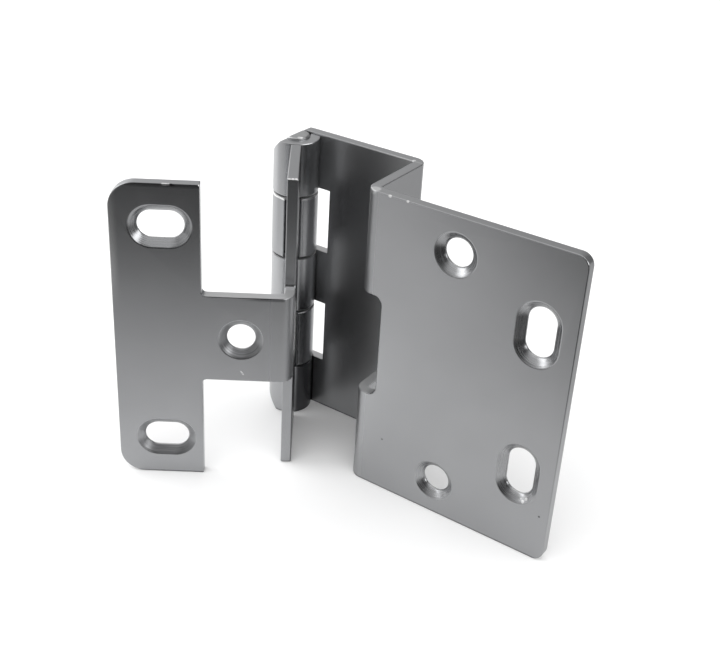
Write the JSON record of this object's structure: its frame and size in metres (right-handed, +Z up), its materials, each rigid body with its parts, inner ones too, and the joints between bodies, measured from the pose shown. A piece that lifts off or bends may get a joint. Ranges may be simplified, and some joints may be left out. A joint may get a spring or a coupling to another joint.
{
  "type": "wrap-around cabinet hinge",
  "caption": "Folded steel knuckle hinge whose door wing steps around a door edge and whose notched wing wraps a cabinet side panel; bevelled barrel ends.",
  "frame": {"origin": "On the pin axis, at the lower edges of both wings.", "axes": "+Z runs up the pin. +X runs along the front plate and door plate of the door wing, away from the pin. +Y points out of the face that the door's back sits on, from the cabinet to the room. The stored pose is 55 degrees open, as in the picture."},
  "size_m": [0.0901, 0.0516, 0.0702],
  "materials": {
    "door_wing_steel": "dull chrome plated, satin",
    "cabinet_wing_steel": "dull chrome plated, satin",
    "pin_steel": "dull chrome plated, ground end"
  },
  "bodies": {
    "cabinet_wing": {"cabinet_wing": "cabinet_wing_steel"},
    "door_wing": {"door_wing": "door_wing_steel", "hinge_pin": "pin_steel"}
  },
  "joints": [
    {"name": "door_swing", "type": "hinge", "parent": "cabinet_wing", "child": "door_wing", "pos_m": [0, 0, 0.035], "axis": [0, 0, 1], "range_deg": [-55, 215]}
  ]
}
